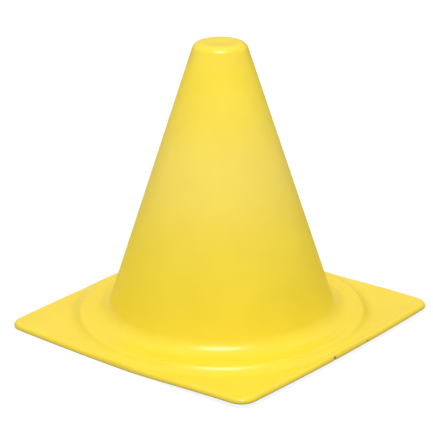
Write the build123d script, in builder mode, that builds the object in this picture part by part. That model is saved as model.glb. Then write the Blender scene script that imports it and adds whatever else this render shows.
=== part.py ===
"""Sports marker cone: one thin-walled plastic moulding, hollow and open underneath.

The frame stands on the floor: origin at the centre of the base, +Z up along the cone's axis.
All sizes are in millimetres.
"""

import os
from math import atan2, cos, radians, tan

from build123d import *

# Cone
CONE_HEIGHT = 150.0  # floor to the rim of the closed top
CONE_FOOT_RADIUS = 62.3  # cone wall carried straight down to the floor
CONE_TOP_RADIUS = 13.1  # cone wall carried straight up to the top
TOP_ROUND = 3.7  # outside rounding between the cone wall and the top
DISH_RADIUS = 6.5  # shallow dish in the middle of the top
DISH_DEPTH = 0.5

# Shoulder and step, the raised round part that the cone grows out of
ROOT_FILLET = 9.5  # hollow blend between the cone wall and the shoulder
SHOULDER_RADIUS = 74.9  # outer edge of the shoulder, before it is rounded
SHOULDER_EDGE_HEIGHT = 5.5  # floor to that edge
SHOULDER_SLOPE = 16.5  # degrees that the shoulder falls towards its edge
SHOULDER_ROUND = 3.0  # outside rounding of that edge
STEP_DRAFT = 48.0  # degrees that the step leans out towards its foot

# Square base plate with its turned-down rim
BASE_SIDE = 158.5  # between the straight chords of two opposite sides
SIDE_BOW = 2.0  # how far each side curves out at its middle
CORNER_RADIUS = 8.5
LEAST_CORNER_RADIUS = 0.8  # kept inside the rim's corners, however thick the wall
PLATE_HEIGHT = 2.8  # floor to the top of the plate, which is the rim's depth
EDGE_ROUND = 2.0  # outside rounding of the plate's upper edge

# Thickness of the moulding, the same all over
WALL = 1.8

WALL_LEAN = atan2(CONE_FOOT_RADIUS - CONE_TOP_RADIUS, CONE_HEIGHT)
SHOULDER_FALL = radians(SHOULDER_SLOPE)
STEP_LEAN = radians(STEP_DRAFT)


def skin_corners(inset):
    """Top, root, shoulder edge and step foot as sharp (radius, height) points, inset below the outer skin."""
    top = CONE_HEIGHT - inset
    plate = PLATE_HEIGHT - inset
    wall_at_floor = CONE_FOOT_RADIUS - inset / cos(WALL_LEAN)
    step_at_floor = SHOULDER_RADIUS + SHOULDER_EDGE_HEIGHT * tan(STEP_LEAN) - inset / cos(STEP_LEAN)
    shoulder_at_axis = SHOULDER_EDGE_HEIGHT + SHOULDER_RADIUS * tan(SHOULDER_FALL) - inset / cos(SHOULDER_FALL)

    def meet_shoulder(radius_at_floor, lean):
        """Where a side that leans in with height meets the shoulder."""
        radius = (radius_at_floor - shoulder_at_axis * tan(lean)) / (1 - tan(lean) * tan(SHOULDER_FALL))
        return radius, shoulder_at_axis - radius * tan(SHOULDER_FALL)

    return [
        (wall_at_floor - top * tan(WALL_LEAN), top),
        meet_shoulder(wall_at_floor, WALL_LEAN),
        meet_shoulder(step_at_floor, STEP_LEAN),
        (step_at_floor - plate * tan(STEP_LEAN), plate),
    ]


def round_section(inset, crown, top_round, root_fillet, edge_round):
    """Half section of the round part, inset below the outer skin, from its crown down to the floor."""
    corners = skin_corners(inset)
    floor = [(corners[-1][0], 0), (0, 0)]
    sharp = 0
    radii = [sharp] * len(crown) + [top_round, root_fillet, edge_round, sharp] + [sharp] * len(floor)
    with BuildSketch() as section:
        with BuildLine():
            FilletPolyline(*crown, *corners, *floor, radius=radii, close=True)
        make_face()
    return section.sketch


def base_outline(inset):
    """The square base, each side a shallow arc, drawn in by inset."""
    half = BASE_SIDE / 2 - inset
    with BuildSketch() as outline:
        with BuildLine():
            for turn in (0, 90, 180, 270):
                near = Vector(half, -half).rotate(Axis.Z, turn)
                middle = Vector(half + SIDE_BOW, 0).rotate(Axis.Z, turn)
                far = Vector(half, half).rotate(Axis.Z, turn)
                ThreePointArc(near, middle, far)
        make_face()
        fillet(outline.vertices(), max(CORNER_RADIUS - inset, LEAST_CORNER_RADIUS))
    return outline.sketch


with BuildPart() as cone_moulding:
    # Outer form, solid down to the floor
    with BuildSketch():
        add(base_outline(0))
    extrude(amount=PLATE_HEIGHT)
    fillet(cone_moulding.faces().sort_by(Axis.Z)[-1].edges(), EDGE_ROUND)
    dish = [(0, CONE_HEIGHT - DISH_DEPTH), (DISH_RADIUS, CONE_HEIGHT)]
    with BuildSketch(Plane.XZ):
        add(round_section(0, dish, TOP_ROUND, ROOT_FILLET, SHOULDER_ROUND))
    revolve(axis=Axis.Z)

    # Hollowed from below to an even wall
    with BuildSketch():
        add(base_outline(WALL))
    extrude(amount=PLATE_HEIGHT - WALL, mode=Mode.SUBTRACT)
    ceiling = [(0, CONE_HEIGHT - WALL)]
    with BuildSketch(Plane.XZ):
        add(round_section(WALL, ceiling, 0, ROOT_FILLET + WALL, 0))
    revolve(axis=Axis.Z, mode=Mode.SUBTRACT)
cone_moulding.part.label = "cone_moulding"

os.makedirs("parts", exist_ok=True)
export_step(cone_moulding.part, "parts/cone_moulding.step")
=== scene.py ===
"""Looks of the sports marker cone: one soft yellow moulding standing on a white studio floor."""

import bisect
import math
from collections import namedtuple

import bpy
from mathutils import Matrix, Vector


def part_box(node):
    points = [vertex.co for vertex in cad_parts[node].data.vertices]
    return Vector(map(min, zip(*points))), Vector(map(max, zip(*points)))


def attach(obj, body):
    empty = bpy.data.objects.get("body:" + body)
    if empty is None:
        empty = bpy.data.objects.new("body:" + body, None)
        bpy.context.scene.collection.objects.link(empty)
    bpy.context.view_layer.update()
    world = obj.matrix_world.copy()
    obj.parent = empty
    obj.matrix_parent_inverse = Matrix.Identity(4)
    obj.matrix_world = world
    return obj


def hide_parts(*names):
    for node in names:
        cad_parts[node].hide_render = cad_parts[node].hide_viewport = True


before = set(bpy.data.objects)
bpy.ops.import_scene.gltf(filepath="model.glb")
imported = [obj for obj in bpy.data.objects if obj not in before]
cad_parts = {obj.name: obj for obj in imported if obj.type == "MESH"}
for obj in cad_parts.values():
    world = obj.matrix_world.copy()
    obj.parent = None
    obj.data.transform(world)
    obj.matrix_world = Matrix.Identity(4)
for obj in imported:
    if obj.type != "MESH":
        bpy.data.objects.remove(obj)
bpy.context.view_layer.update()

NODE = "cone_moulding"
MM = 0.001
LOWEST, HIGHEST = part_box(NODE)

# Sizes of the moulding in millimetres, its height and its reach from the frame
CONE_HEIGHT = (HIGHEST.z - LOWEST.z) / MM
CONE_FOOT_RADIUS = 62.3  # cone wall carried straight down to the floor
CONE_TOP_RADIUS = 13.1  # cone wall carried straight up to the top
WALL_LEAN = math.atan2(CONE_FOOT_RADIUS - CONE_TOP_RADIUS, CONE_HEIGHT)
TOP_ROUND = 4.6
DISH_RADIUS = 7.5
DISH_DEPTH = 0.3
ROOT_FILLET = 9.5  # hollow blend between the cone wall and the shoulder
SHOULDER_RADIUS = 74.5  # outer edge of the shoulder, before it is rounded
SHOULDER_EDGE_HEIGHT = 6.32
SHOULDER_FALL = math.radians(1.5)
SHOULDER_ROUND = 2.8
STEP_LEAN = math.radians(44)  # out from upright, towards the step's foot
FOOT_FILLET = 8.7  # hollow blend between the step and the plate
FOOT_SPARE = 0.5  # level plate beyond that blend
BASE_REACH = (HIGHEST.x - LOWEST.x) / 2 / MM  # from the middle to the middle of a side
SIDE_BOW = 2.0  # how far each side curves out
CORNER_RADIUS = 8.5
PLATE_HEIGHT = 2.8
EDGE_ROUND = 2.35  # rounding of the plate's upper edge
RIM_START = 1.1 * EDGE_ROUND  # in from the outline, where the plate passes into the rim
LIP_ROUND = 0.4  # rounding of the rim's lower edge
LEAST_PLATE = 0.5  # kept between the step's foot and the rim
WALL = 1.8

# How far the soft base stands off the floor at its rim, anticlockwise from the side that faces +X
RIM_LIFTS = (2.1, 2.0, 0.2, 1.0, 0.1, 0.0, 0.0, 2.3)
LIFT_START_AT_SIDE = 64.0  # radius at which the base begins to rise, towards the middle of a side
LIFT_START_SHARE = 0.2  # how far that start follows the outline out to the corners
LIFT_POWER = 1.5  # how gently the rise begins

# Nicks in the lower edge of the side that faces +X
Nick = namedtuple("Nick", "along half_width depth")
NICKS = (Nick(-9.2, 1.2, 0.8), Nick(18.9, 0.75, 0.5))
NICK_COLUMNS = (-1.2, -0.8, -0.4, 0, 0.4, 0.8, 1.2)  # places of the mesh's columns, in half widths
NICK_CLEARING = 1.6  # half widths to each side that have no other columns
NICK_STEEPNESS = 1.3  # how soon a nick reaches its depth, along the side
NICK_FADE = 1.5  # how soon a nick reaches its depth, down the rim

# Fineness of the mesh, its straight runs in millimetres
SIDE_STEPS = 44
CORNER_STEPS = 12
DISH_STEPS = 8
PLATE_STEPS = 10
ARC_STEP = math.radians(7)
LEAST_ARC_STEPS = 3
RUN_STEP = 7.0

# Colours of the plastic, the near white mixed in as painted sheen, and the brown of the painted shade at the
# rim
DEEP_YELLOW = (0.92, 0.685, 0.017, 1)
LIGHT_YELLOW = (0.96, 0.725, 0.023, 1)
SHEEN_WHITE = (0.96, 0.96, 0.96, 1)
PAINTED_SHADE_BROWN = (0.2, 0.13, 0.015, 1)

# Strength of the painted sheen, a paler colour standing in for sheen, and how that and the rubbing change
# with the share of the height
WALL_PAINTED_SHEEN = 0.108
RUBBED_WALL_PAINTED_SHEEN = 0.014
SHOULDER_PAINTED_SHEEN = 0.018
CORNER_PAINTED_SHEEN = 0.034
CORNER_SHEEN_RADIUS = 1.2 * SHOULDER_RADIUS
# Only faces whose normal points this far up get the painted sheen of the level faces
LEVEL_NORMALS = (0.75, 0.98)  # upward part of the normal on the faces that count as level
SHEEN_BY_HEIGHT = ((0.16, 0), (0.40, 0.3), (0.58, 1), (0.76, 0.42), (0.95, 0.15))
RUBBED_BY_HEIGHT = ((0.06, 0), (0.095, 1), (0.92, 1), (0.96, 0))

# Gloss of the moulded skin, and what rubbing makes of it
SKIN_ROUGHNESS = (0.28, 0.34)
RUBBED_ROUGHNESS = 0.32  # added to that
SKIN_SPECULAR = 0.5
RUBBED_SPECULAR = 0.15

# Painted shade along the rim's lower edge and in its nicks
RIM_SHADE_AMOUNT = 0.8
RIM_SHADE_HEIGHT = PLATE_HEIGHT / 3
NICK_SHADE_AMOUNT = 0.75
NICK_SHADE_SPREAD = (0.5, 1.3)  # in half widths
ABOVE_RIM = "above_rim"  # mesh attribute: height over the rim's lower edge, in millimetres

# Camera, worked out from the base's corners and the cone's sides, in metres and radians
PHOTO_WIDTH = 433
FOCAL_PIXELS = 1800
SENSOR_WIDTH = 36.0  # in millimetres, as Blender takes it
CAMERA_DISTANCE = 931.2 * MM
CAMERA_AZIMUTH = 0.6955
CAMERA_ELEVATION = 0.3511
CAMERA_ROLL = -0.006
TARGET_HEIGHT = 59.89 * MM
TARGET_ASIDE = -2.31 * MM

# White sheet that the cone stands on, long enough to fill the picture, in metres
SHEET_WIDTH_IN_FRONT = 0.18
SHEET_WIDTH_BEHIND = 0.46
SHEET_BEHIND = 0.85
SHEET_IN_FRONT = 0.3
SHEET_DROP = 0.1 * MM  # below the rim, so that the two don't share a plane
SHEET_PAINT = 0.15
SHEET_GLOW = 0.88


def smooth(share):
    """A share from 0 to 1, eased at both ends."""
    share = min(max(share, 0), 1)
    return share * share * (3 - 2 * share)


def skin_corners(inset):
    """Top, root, shoulder edge and step foot as sharp (radius, height) points, inset below the outer skin."""
    top = CONE_HEIGHT - inset
    plate = PLATE_HEIGHT - inset
    slope = math.tan(SHOULDER_FALL)
    wall_at_floor = CONE_FOOT_RADIUS - inset / math.cos(WALL_LEAN)
    outer_step_at_floor = SHOULDER_RADIUS + SHOULDER_EDGE_HEIGHT * math.tan(STEP_LEAN)
    step_at_floor = outer_step_at_floor - inset / math.cos(STEP_LEAN)
    shoulder_at_axis = SHOULDER_EDGE_HEIGHT + SHOULDER_RADIUS * slope - inset / math.cos(SHOULDER_FALL)

    def meet_shoulder(radius_at_floor, lean):
        """Where a side that leans in with height meets the shoulder."""
        radius = (radius_at_floor - shoulder_at_axis * math.tan(lean)) / (1 - math.tan(lean) * slope)
        return Vector((radius, shoulder_at_axis - radius * slope))

    return [
        Vector((wall_at_floor - top * math.tan(WALL_LEAN), top)),
        meet_shoulder(wall_at_floor, WALL_LEAN),
        meet_shoulder(step_at_floor, STEP_LEAN),
        Vector((step_at_floor - plate * math.tan(STEP_LEAN), plate)),
    ]


def rounded(corners, radii):
    """A section through these corners, with arcs for the inner corners and points along the straight runs."""
    path = [corners[0]]

    def run_to(point):
        """Points along a straight run from the last point to this one."""
        start = path[-1]
        steps = max(1, math.ceil((point - start).length / RUN_STEP))
        path.extend(start.lerp(point, step / steps) for step in range(1, steps + 1))

    for before, corner, after, radius in zip(corners, corners[1:], corners[2:], radii):
        to_before = (before - corner).normalized()
        to_after = (after - corner).normalized()
        half = to_before.angle(to_after) / 2
        centre = corner + (to_before + to_after).normalized() * (radius / math.sin(half))
        spoke = corner + to_before * (radius / math.tan(half)) - centre
        turn = spoke.angle_signed(corner + to_after * (radius / math.tan(half)) - centre)
        steps = max(LEAST_ARC_STEPS, math.ceil(abs(turn) / ARC_STEP))
        run_to(centre + spoke)
        for step in range(1, steps + 1):
            path.append(centre + Matrix.Rotation(-turn * step / steps, 2) @ spoke)
    run_to(corners[-1])
    return path


def foot_run(fillet):
    """Length on the plate that the hollow blend at the step's foot needs, and a little more."""
    return fillet * math.tan((math.pi / 2 - STEP_LEAN) / 2) + FOOT_SPARE


def outer_section():
    """Outer skin of the round part, from the middle of the dished top out to the plate."""
    dish = []
    for step in range(DISH_STEPS):
        share = step / DISH_STEPS
        depth = DISH_DEPTH * (1 + math.cos(math.pi * share)) / 2
        dish.append(Vector((DISH_RADIUS * share, CONE_HEIGHT - depth)))
    corners = skin_corners(0)
    plate = Vector((corners[-1].x + foot_run(FOOT_FILLET), PLATE_HEIGHT))
    radii = [TOP_ROUND, ROOT_FILLET, SHOULDER_ROUND, FOOT_FILLET]
    path = rounded([Vector((DISH_RADIUS, CONE_HEIGHT)), *corners, plate], radii)
    return dish + path[:-1]


def inner_section():
    """Inner skin of the round part, from the middle of the ceiling out to the underside of the plate."""
    corners = skin_corners(WALL)
    plate = Vector((corners[-1].x + foot_run(FOOT_FILLET + WALL), PLATE_HEIGHT - WALL))
    radii = [TOP_ROUND - WALL, ROOT_FILLET + WALL, SHOULDER_ROUND - WALL, FOOT_FILLET + WALL]
    path = rounded([Vector((0, CONE_HEIGHT - WALL)), *corners, plate], radii)
    return path[:-1]


def rim_section():
    """(inset from the outline, height) points over the rim, from the plate's top to its underside."""
    corners = [
        Vector((RIM_START, PLATE_HEIGHT)),
        Vector((0, PLATE_HEIGHT)),
        Vector((0, 0)),
        Vector((WALL, 0)),
        Vector((WALL, PLATE_HEIGHT - WALL)),
        Vector((EDGE_ROUND + WALL, PLATE_HEIGHT - WALL)),
    ]
    path = rounded(corners, [EDGE_ROUND, LIP_ROUND, LIP_ROUND, LIP_ROUND])
    return path[1:-1]


def height_at(section, radius):
    """Height of a section at this radius; its points run outwards from the axis."""
    after = min(bisect.bisect_left(section, radius, key=lambda point: point.x), len(section) - 1)
    before = max(after - 1, 0)
    run = section[after].x - section[before].x
    share = (radius - section[before].x) / run if run else 0
    return section[before].y + share * (section[after].y - section[before].y)


def rim_lift(point):
    """How far the rim stands off the floor in the direction of this point."""
    count = len(RIM_LIFTS)
    turned = math.atan2(point.y, point.x) / (2 * math.pi / count) % count
    before = int(turned)
    here = RIM_LIFTS[before % count]
    return here + (RIM_LIFTS[(before + 1) % count] - here) * smooth(turned - before)


def nick_depth(point):
    """How deep a nick goes into the rim's lower edge at this point of the outline."""
    deepest = 0
    if point.x > abs(point.y):
        for nick in NICKS:
            share = 1 - abs(point.y - nick.along) / nick.half_width
            deepest = max(deepest, nick.depth * smooth(NICK_STEEPNESS * share))
    return deepest


def with_nicks(angles, radius):
    """These angles along a side, with closer ones at the nicks."""
    for nick in NICKS:
        middle = nick.along / radius
        spread = nick.half_width / radius
        angles = [angle for angle in angles if abs(angle - middle) > NICK_CLEARING * spread]
        angles += [middle + spread * share for share in NICK_COLUMNS]
    return sorted(angles)


# A column of the mesh: its point on the base's outline, and how the base is lifted below it
Column = namedtuple("Column", "point normal reach lift lift_start")


def make_column(point, normal):
    """The column that ends at this point of the outline, with this outward normal."""
    reach = point.length
    lift_start = LIFT_START_AT_SIDE + LIFT_START_SHARE * (reach - BASE_REACH)
    return Column(point, normal, reach, rim_lift(point), lift_start)


def base_columns():
    """Columns round the bowed square outline of the base, anticlockwise."""
    half = BASE_REACH - SIDE_BOW
    side_radius = (half ** 2 + SIDE_BOW ** 2) / (2 * SIDE_BOW)
    side_centre = Vector((BASE_REACH - side_radius, 0))
    reach = side_radius - CORNER_RADIUS
    across = (side_centre.x + math.sqrt(2 * reach ** 2 - side_centre.x ** 2)) / 2
    corner_centre = Vector((across, across))
    swing = math.atan2(across, across - side_centre.x)
    arcs = [
        (side_centre, side_radius, -swing, swing, SIDE_STEPS),
        (corner_centre, CORNER_RADIUS, swing, math.pi / 2 - swing, CORNER_STEPS),
    ]
    columns = []
    for quarter in range(4):
        turn = Matrix.Rotation(quarter * math.pi / 2, 2)
        for centre, radius, first, last, steps in arcs:
            angles = [first + (last - first) * step / steps for step in range(steps)]
            if quarter == 0 and radius == side_radius:
                angles = with_nicks(angles, side_radius)
            for angle in angles:
                normal = Vector((math.cos(angle), math.sin(angle)))
                columns.append(make_column(turn @ (centre + radius * normal), turn @ normal))
    return columns


def raised(column, flat, height):
    """A point of the skin, lifted as far as the base stands off the floor there."""
    share = max(0, (flat.length - column.lift_start) / (column.reach - column.lift_start))
    return Vector((flat.x, flat.y, height + column.lift * share ** LIFT_POWER))


def foot_ends(columns, section, inset):
    """Radius in each column at which the step's foot ends: at the section's end, or sooner at the rim."""
    rim_starts = [(column.point - column.normal * inset).length for column in columns]
    return [min(section[-1].x, start - LEAST_PLATE) for start in rim_starts]


def round_rings(columns, section, ends):
    """Rings over the round part, drawn in from the shoulder on where the step's foot ends sooner."""
    start = SHOULDER_RADIUS - 2 * SHOULDER_ROUND
    for station in section[1:]:
        share = max(0, (station.x - start) / (section[-1].x - start))
        ring = []
        for column, end in zip(columns, ends):
            radius = start + share * (end - start) if share else station.x
            flat = column.point.normalized() * radius
            ring.append(raised(column, flat, height_at(section, radius)))
        yield ring


def plate_rings(columns, section, ends, inset):
    """Rings over the plate, from the step's foot to where the rim starts."""
    for step in range(1, PLATE_STEPS):
        ring = []
        for column, end in zip(columns, ends):
            foot = column.point.normalized() * end
            rim_start = column.point - column.normal * inset
            flat = foot.lerp(rim_start, step / PLATE_STEPS)
            ring.append(raised(column, flat, height_at(section, end)))
        yield ring


def rim_rings(columns, section, ends, rim):
    """Rings over the rim, as much deeper in a column as the step's foot is cut short there."""
    for inset, height in rim:
        ring = []
        for column, end in zip(columns, ends):
            rise = height_at(section, end) / section[-1].y
            nick = nick_depth(column.point) * smooth(NICK_FADE * (1 - height / PLATE_HEIGHT))
            flat = column.point - column.normal * max(inset, nick)
            ring.append(raised(column, flat, height * rise))
        yield ring


def skin_rings(columns, section, rim):
    """Rings over one skin of the moulding, from the axis out to the rim's lip."""
    inset = rim[0].x
    ends = foot_ends(columns, section, inset)
    yield from round_rings(columns, section, ends)
    yield from plate_rings(columns, section, ends, inset)
    yield from rim_rings(columns, section, ends, rim)


def skin_points():
    """Points of the whole skin, outside and back inside: one on the axis, rings, and one on the axis."""
    columns = base_columns()
    outer = outer_section()
    inner = inner_section()
    rim = rim_section()
    lip = min(range(len(rim)), key=lambda index: rim[index].y) + 1
    outside = list(skin_rings(columns, outer, rim[:lip]))
    inside = list(skin_rings(columns, inner, rim[lip:][::-1]))
    crown = Vector((0, 0, outer[0].y))
    ceiling = Vector((0, 0, inner[0].y))
    return crown, outside + inside[::-1], ceiling


def skin_faces(ring_count, column_count):
    """Faces of the skin: a fan at each end on the axis, and bands between the rings."""
    last_ring = 1 + (ring_count - 1) * column_count
    end = last_ring + column_count
    faces = []
    for i in range(column_count):
        j = (i + 1) % column_count
        faces.append((0, 1 + i, 1 + j))
        for near in range(1, last_ring, column_count):
            far = near + column_count
            faces.append((near + i, far + i, far + j, near + j))
        faces.append((last_ring + i, end, last_ring + j))
    return faces


def make_cone():
    """The whole moulding as one closed skin, outside and inside."""
    crown, rings, ceiling = skin_points()
    points = [crown, *(point for ring in rings for point in ring), ceiling]
    mesh = bpy.data.meshes.new("cone_skin")
    mesh.from_pydata([point * MM for point in points], [], skin_faces(len(rings), len(rings[0])))
    mesh.update()
    mesh.shade_smooth()
    above = mesh.attributes.new(ABOVE_RIM, "FLOAT", "POINT")
    above.data.foreach_set("value", [point.z - rim_lift(point) for point in points])
    cone = bpy.data.objects.new("cone_skin", mesh)
    bpy.context.scene.collection.objects.link(cone)
    return cone


def grey(level):
    """A grey as a colour for a node."""
    return level, level, level, 1


def set_inputs(tree, node, inputs):
    """Sets a node's inputs: another node's output is linked, and anything else is a value."""
    for name, value in inputs.items():
        if isinstance(value, bpy.types.NodeSocket):
            tree.links.new(value, node.inputs[name])
        else:
            node.inputs[name].default_value = value


def add_node(tree, kind, inputs=None, **settings):
    """A shader node with these settings and inputs."""
    node = tree.nodes.new(kind)
    for name, value in settings.items():
        setattr(node, name, value)
    set_inputs(tree, node, inputs or {})
    return node


def calculate(tree, operation, *values):
    """The result of a calculation on these values."""
    return add_node(tree, "ShaderNodeMath", dict(enumerate(values)), operation=operation).outputs["Value"]


def calculate_vector(tree, operation, *vectors):
    """The outputs, Vector and Value, of a calculation on these vectors."""
    return add_node(tree, "ShaderNodeVectorMath", dict(enumerate(vectors)), operation=operation).outputs


def map_range(tree, value, source, target, interpolation="LINEAR"):
    """A value that crosses the target range as the given one crosses the source range."""
    inputs = {
        "Value": value,
        "From Min": source[0],
        "From Max": source[1],
        "To Min": target[0],
        "To Max": target[1],
    }
    return add_node(tree, "ShaderNodeMapRange", inputs, interpolation_type=interpolation).outputs["Result"]


def colour_ramp(tree, share, stops, interpolation="LINEAR"):
    """A colour that changes with a share through these (share, colour) stops."""
    ramp = add_node(tree, "ShaderNodeValToRGB", {"Fac": share})
    ramp.color_ramp.interpolation = interpolation
    elements = ramp.color_ramp.elements
    elements.remove(elements[1])
    first, colour = stops[0]
    elements[0].position = first
    elements[0].color = colour
    for position, colour in stops[1:]:
        elements.new(position).color = colour
    return ramp.outputs["Color"]


def mixed(tree, factor, base, other):
    """A base colour with a share of another colour mixed in."""
    inputs = {"Factor": factor, "A": base, "B": other}
    return add_node(tree, "ShaderNodeMix", inputs, data_type="RGBA").outputs["Result"]


def noise(tree, place, scale, detail, roughness=0.5):
    """Soft noise all through the plastic."""
    inputs = {"Vector": place, "Scale": scale, "Detail": detail, "Roughness": roughness}
    return add_node(tree, "ShaderNodeTexNoise", inputs).outputs["Fac"]


def by_height(tree, place, levels, interpolation):
    """A level that changes with the share of the cone's height."""
    height = add_node(tree, "ShaderNodeSeparateXYZ", {"Vector": place}).outputs["Z"]
    share = map_range(tree, height, (0, CONE_HEIGHT * MM), (0, 1))
    stops = [(position, grey(level)) for position, level in levels]
    return colour_ramp(tree, share, stops, interpolation)


def level_face_painted_sheen(tree, place):
    """Painted sheen on the level faces, strongest out in the base's corners."""
    flat = calculate_vector(tree, "MULTIPLY", place, (1, 1, 0))["Vector"]
    radius = calculate_vector(tree, "LENGTH", flat)["Value"]
    radii = (SHOULDER_RADIUS * MM, CORNER_SHEEN_RADIUS * MM)
    sheen = map_range(tree, radius, radii, (SHOULDER_PAINTED_SHEEN, CORNER_PAINTED_SHEEN), "SMOOTHSTEP")
    normal = add_node(tree, "ShaderNodeTexCoord").outputs["Normal"]
    upward = add_node(tree, "ShaderNodeSeparateXYZ", {"Vector": normal}).outputs["Z"]
    return calculate(tree, "MULTIPLY", sheen, map_range(tree, upward, LEVEL_NORMALS, (0, 1)))


def painted_sheen(tree, place, rubbed):
    """Painted sheen: a paler colour, most half way up the wall, more where the wall is rubbed matt, and on
    the level faces.
    """
    wall = by_height(tree, place, SHEEN_BY_HEIGHT, "B_SPLINE")
    sheen = calculate(tree, "MULTIPLY_ADD", wall, WALL_PAINTED_SHEEN, level_face_painted_sheen(tree, place))
    return calculate(tree, "MULTIPLY_ADD", rubbed, RUBBED_WALL_PAINTED_SHEEN, sheen)


def nick_painted_shade(tree, place, nick):
    """Painted shade in a spot low in a nick."""
    middle = Vector((BASE_REACH - nick.depth, nick.along, RIM_LIFTS[0] + nick.half_width / 2)) * MM
    away = calculate_vector(tree, "DISTANCE", place, middle)["Value"]
    spread = [share * nick.half_width * MM for share in NICK_SHADE_SPREAD]
    return map_range(tree, away, spread, (NICK_SHADE_AMOUNT, 0), "SMOOTHSTEP")


def rim_painted_shade(tree, place):
    """Painted shade along the lower edge of the rim and in its nicks."""
    above = add_node(tree, "ShaderNodeAttribute", attribute_name=ABOVE_RIM).outputs["Fac"]
    shade_mask = map_range(tree, above, (0, RIM_SHADE_HEIGHT), (RIM_SHADE_AMOUNT, 0), "SMOOTHSTEP")
    for nick in NICKS:
        shade_mask = calculate(tree, "MAXIMUM", shade_mask, nick_painted_shade(tree, place, nick))
    return shade_mask


def plastic_colour(tree, place, rubbed):
    """Faintly mottled yellow, with painted sheen as a paler colour on the wall and level faces, and painted
    shade at the rim.
    """
    mottle = noise(tree, place, scale=45.0, detail=4.0, roughness=0.55)
    yellow = colour_ramp(tree, mottle, ((0.3, DEEP_YELLOW), (0.7, LIGHT_YELLOW)))
    # Painted sheen: near white mixed into the yellow
    with_sheen = mixed(tree, painted_sheen(tree, place, rubbed), yellow, SHEEN_WHITE)
    # Painted shade: brown mixed in along the rim's lower edge and in the nicks
    return mixed(tree, rim_painted_shade(tree, place), with_sheen, PAINTED_SHADE_BROWN)


def plastic_roughness(tree, place, rubbed):
    """A slightly uneven gloss, matt where it is rubbed."""
    gloss = map_range(tree, noise(tree, place, scale=120.0, detail=3.0), (0, 1), SKIN_ROUGHNESS)
    return calculate(tree, "MULTIPLY_ADD", rubbed, RUBBED_ROUGHNESS, gloss)


def skin_texture(tree, place):
    """The fine grain that the mould leaves."""
    grain = noise(tree, place, scale=900.0, detail=2.0)
    inputs = {"Height": grain, "Strength": 0.08, "Distance": 0.1 * MM}
    return add_node(tree, "ShaderNodeBump", inputs).outputs["Normal"]


def yellow_plastic():
    """Soft moulded polyethylene whose wall has been rubbed matt by stacking."""
    material = bpy.data.materials.new("yellow_plastic")
    material.use_nodes = True
    tree = material.node_tree
    place = add_node(tree, "ShaderNodeTexCoord").outputs["Object"]
    rubbed = by_height(tree, place, RUBBED_BY_HEIGHT, "EASE")
    set_inputs(tree, tree.nodes["Principled BSDF"], {
        "Base Color": plastic_colour(tree, place, rubbed),
        "Roughness": plastic_roughness(tree, place, rubbed),
        "Specular IOR Level": map_range(tree, rubbed, (0, 1), (SKIN_SPECULAR, RUBBED_SPECULAR)),
        "Normal": skin_texture(tree, place),
        "IOR": 1.58,
        "Subsurface Weight": 0.1,
        "Subsurface Radius": (1.0, 0.6, 0.15),
        "Subsurface Scale": 2.5 * MM,
    })
    return material


def camera_axes():
    """Right, up and back directions of the camera."""
    azimuth, elevation = CAMERA_AZIMUTH, CAMERA_ELEVATION
    back = Vector((
        math.sin(azimuth) * math.cos(elevation),
        -math.cos(azimuth) * math.cos(elevation),
        math.sin(elevation),
    ))
    right = Vector((math.cos(azimuth), math.sin(azimuth), 0))
    return right, back.cross(right), back


def floor_axes():
    """Level directions to the camera's right and from the cone towards the camera."""
    right, up, back = camera_axes()
    return right, Vector((back.x, back.y, 0)).normalized()


def add_camera():
    """The camera, at the photo's angle and distance."""
    right, up, back = camera_axes()
    eye = Vector((0, 0, TARGET_HEIGHT)) + right * TARGET_ASIDE + back * CAMERA_DISTANCE
    rolled_right = right * math.cos(CAMERA_ROLL) + up * math.sin(CAMERA_ROLL)
    rolled_up = up * math.cos(CAMERA_ROLL) - right * math.sin(CAMERA_ROLL)
    data = bpy.data.cameras.new("camera")
    data.sensor_fit = "HORIZONTAL"
    data.sensor_width = SENSOR_WIDTH
    data.lens = SENSOR_WIDTH * FOCAL_PIXELS / PHOTO_WIDTH
    camera = bpy.data.objects.new("camera", data)
    turn = Matrix((rolled_right, rolled_up, back)).transposed()
    camera.matrix_world = Matrix.Translation(eye) @ turn.to_4x4()
    bpy.context.scene.collection.objects.link(camera)
    bpy.context.scene.camera = camera


def add_lamp(name, aside, height, towards, width, depth, power, mirrored=True):
    """A soft panel of light, placed from the camera's point of view and aimed at the middle of the cone."""
    right, ahead = floor_axes()
    data = bpy.data.lights.new(name, "AREA")
    data.shape = "RECTANGLE"
    data.size = width
    data.size_y = depth
    data.energy = power
    lamp = bpy.data.objects.new(name, data)
    lamp.location = right * aside + ahead * towards + Vector((0, 0, height))
    facing = (lamp.location - Vector((0, 0, CONE_HEIGHT / 2 * MM))).normalized()
    across = (right - facing * right.dot(facing)).normalized()
    lamp.rotation_euler = Matrix((across, facing.cross(across), facing)).transposed().to_euler()
    lamp.visible_camera = False
    lamp.visible_glossy = mirrored
    bpy.context.scene.collection.objects.link(lamp)


def add_world(bright, dim, turned, tilt, spread):
    """A studio that is bright in front of the cone and dim behind it, and that the camera sees as white.

    Its bright side is turned to the left and tilted up. The spread is the range over which it brightens,
    as the cosine of the angle from the middle of that side.
    """
    right, ahead = floor_axes()
    across = ahead * math.cos(turned) - right * math.sin(turned)
    middle = across * math.cos(tilt) + Vector((0, 0, math.sin(tilt)))
    world = bpy.data.worlds.new("studio")
    world.use_nodes = True
    tree = world.node_tree
    direction = add_node(tree, "ShaderNodeTexCoord").outputs["Generated"]
    towards = calculate_vector(tree, "DOT_PRODUCT", direction, middle)["Value"]
    level = map_range(tree, towards, spread, (dim, bright), "SMOOTHSTEP")
    seen = add_node(tree, "ShaderNodeLightPath").outputs["Is Camera Ray"]
    strength = calculate(tree, "MAXIMUM", level, seen)
    set_inputs(tree, tree.nodes["Background"], {"Color": grey(1), "Strength": strength})
    bpy.context.scene.world = world


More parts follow.
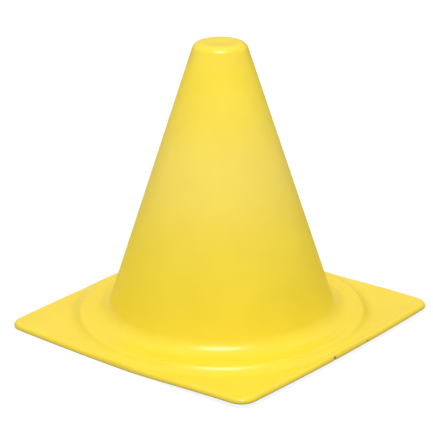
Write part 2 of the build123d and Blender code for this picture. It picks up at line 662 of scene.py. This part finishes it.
def white_floor():
    """White paper that shows white by itself, with paint that takes the cone's shadow."""
    material = bpy.data.materials.new("white_floor")
    material.use_nodes = True
    tree = material.node_tree
    tree.nodes.clear()
    path = add_node(tree, "ShaderNodeLightPath").outputs
    seen = calculate(tree, "MAXIMUM", path["Is Camera Ray"], path["Is Glossy Ray"])
    seen_through = calculate(tree, "MAXIMUM", seen, path["Is Transmission Ray"])
    strength = calculate(tree, "MULTIPLY", seen_through, SHEET_GLOW)
    paint = add_node(tree, "ShaderNodeBsdfDiffuse", {"Color": grey(SHEET_PAINT)})
    glow = add_node(tree, "ShaderNodeEmission", {"Color": grey(1), "Strength": strength})
    both = add_node(tree, "ShaderNodeAddShader", {0: paint.outputs["BSDF"], 1: glow.outputs["Emission"]})
    add_node(tree, "ShaderNodeOutputMaterial", {"Surface": both.outputs["Shader"]})
    return material


def add_floor():
    """A white sheet on the floor, wider behind the cone than in front of it."""
    right, ahead = floor_axes()
    below = Vector((0, 0, LOWEST.z - SHEET_DROP))
    corners = []
    for width, towards in ((SHEET_WIDTH_BEHIND, -SHEET_BEHIND), (SHEET_WIDTH_IN_FRONT, SHEET_IN_FRONT)):
        middle = below + ahead * towards
        corners += [middle - right * width / 2, middle + right * width / 2]
    mesh = bpy.data.meshes.new("floor")
    mesh.from_pydata(corners, [], [(2, 3, 1, 0)])
    mesh.materials.append(white_floor())
    floor = bpy.data.objects.new("floor", mesh)
    bpy.context.scene.collection.objects.link(floor)


cone = make_cone()
cone.data.materials.append(yellow_plastic())
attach(cone, "root")
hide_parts(NODE)

# Studio, with lamps in metres and watts
add_floor()
add_world(bright=0.7, dim=0.14, turned=math.radians(6), tilt=math.radians(36), spread=(-0.95, 0.1))
add_lamp("key", aside=-0.02, height=1.135, towards=0.563, width=0.48, depth=0.12, power=7.4)
add_lamp("fill", aside=0, height=0.3, towards=-1.2, width=0.6, depth=0.3, power=4.0, mirrored=False)
add_camera()
bpy.context.scene.view_settings.view_transform = "Standard"
